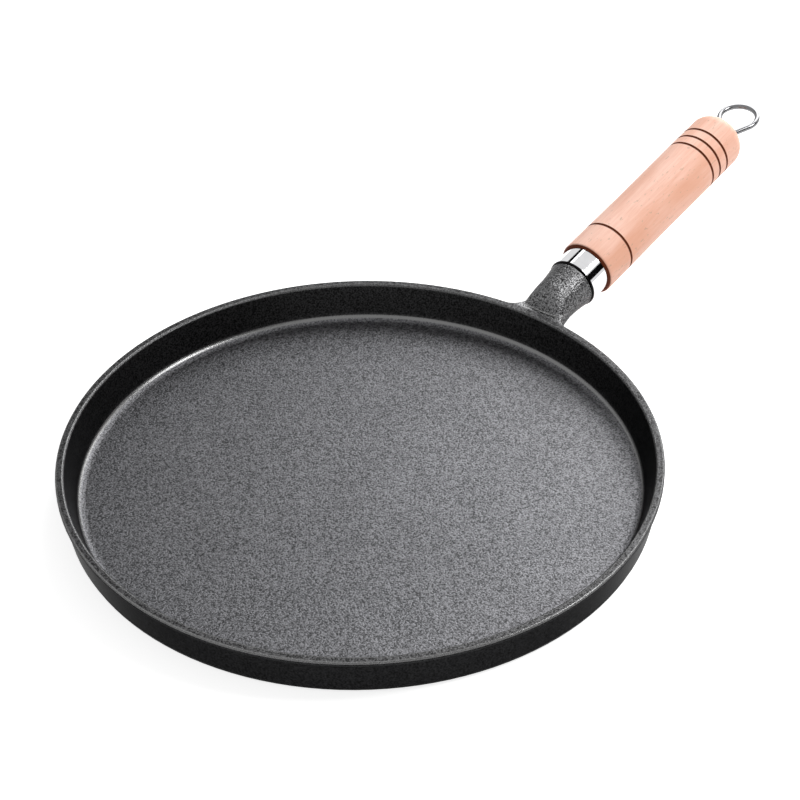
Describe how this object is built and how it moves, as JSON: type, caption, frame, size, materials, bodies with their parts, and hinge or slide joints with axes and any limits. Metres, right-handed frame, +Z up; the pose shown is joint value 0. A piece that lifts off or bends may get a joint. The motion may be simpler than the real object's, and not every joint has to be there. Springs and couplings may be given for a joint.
{
  "type": "crepe pan",
  "caption": "Round flat cast iron crepe pan with a low sloping wall, a short cast neck and a turned wooden grip held by a tie rod with a wire hanging loop.",
  "frame": {"origin": "centre of the bowl's flat underside, in the plane that the pan stands on", "axes": "+X from the bowl's centre along the handle in plan, +Z up, +Y to the left of someone who looks from the bowl along the handle"},
  "size_m": [0.4782, 0.28, 0.059],
  "materials": {
    "cast_iron": "grained as-cast, seasoned",
    "polished_steel": "polished",
    "beech": "turned and waxed, burnt edge and grooves",
    "steel": "zinc plated"
  },
  "bodies": {
    "pan": {"pan": "cast_iron"},
    "grip": {"wood_grip": "beech", "ferrule": "polished_steel", "end_washer": "steel"},
    "tie_rod": {"tie_rod": "steel", "hanging_loop": "polished_steel"}
  },
  "joints": [
    {"name": "grip_travel", "type": "slide", "parent": "pan", "child": "grip", "axis": [0.9877, 0, 0.1564], "range_m": [0, 0.012]},
    {"name": "tie_rod_turn", "type": "hinge", "parent": "grip", "child": "tie_rod", "pos_m": [0.14, 0, 0.0182], "axis": [0.9877, 0, 0.1564], "range_deg": [0, 4320]}
  ],
  "couplings": [
    {"joint": "tie_rod_turn", "follows": "grip_travel", "rad_per_m": 6283.2}
  ]
}
